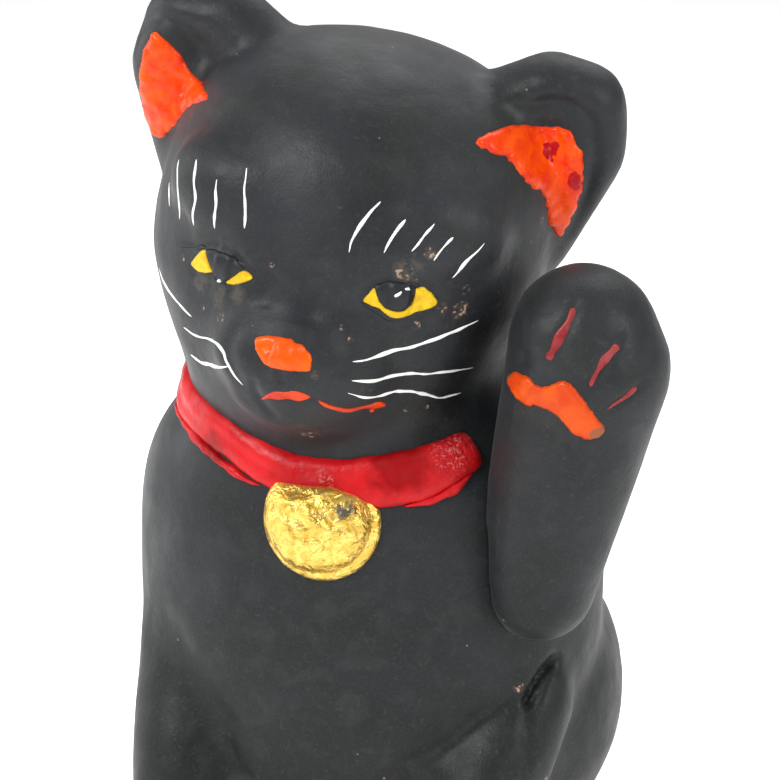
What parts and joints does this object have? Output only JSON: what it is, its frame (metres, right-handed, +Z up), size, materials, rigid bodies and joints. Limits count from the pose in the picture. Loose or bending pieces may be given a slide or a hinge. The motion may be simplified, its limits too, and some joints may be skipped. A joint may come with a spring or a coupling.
{
  "type": "beckoning cat figurine",
  "caption": "Seated hollow clay cat figurine with a raised left paw, cupped ears, a raised collar with a round bell, and painted face and paw marks.",
  "frame": {"origin": "middle of the flat underside that the figurine stands on", "axes": "+Z up, the cat faces -Y, its own left side with the raised foreleg is +X"},
  "size_m": [0.105, 0.0953, 0.1802],
  "materials": {
    "black_clay": "matt black paint on low-fired clay",
    "bare_clay": "bare fired clay, smudged with black paint",
    "red_clay": "glossy red enamel on clay",
    "gold_clay": "gold paint on clay",
    "orange": "thick orange-red enamel paint",
    "dark_red": "dull red enamel paint",
    "white": "off-white brushed paint",
    "yellow": "yellow enamel paint",
    "pupil_black": "glossy black paint"
  },
  "bodies": {
    "root": {"front_shell": "black_clay", "back_shell": "black_clay", "ear_left": "black_clay", "ear_right": "black_clay", "raised_foreleg": "black_clay", "tail": "black_clay", "base_plate": "bare_clay", "collar": "red_clay", "bell": "gold_clay", "nose": "orange", "mouth": "orange", "ear_lining_left": "orange", "ear_lining_right": "orange", "paw_pad": "orange", "toe_stroke_1": "dark_red", "toe_stroke_2": "dark_red", "toe_stroke_3": "dark_red", "brow_left_1": "white", "brow_left_2": "white", "brow_left_3": "white", "brow_left_4": "white", "brow_left_5": "white", "brow_right_1": "white", "brow_right_2": "white", "brow_right_3": "white", "brow_right_4": "white", "brow_right_5": "white", "whisker_left_1": "white", "whisker_left_2": "white", "whisker_left_3": "white", "whisker_right_1": "white", "whisker_right_2": "white", "whisker_right_3": "white", "eye_left": "yellow", "eye_right": "yellow", "pupil_left": "pupil_black", "pupil_right": "pupil_black"}
  },
  "joints": []
}
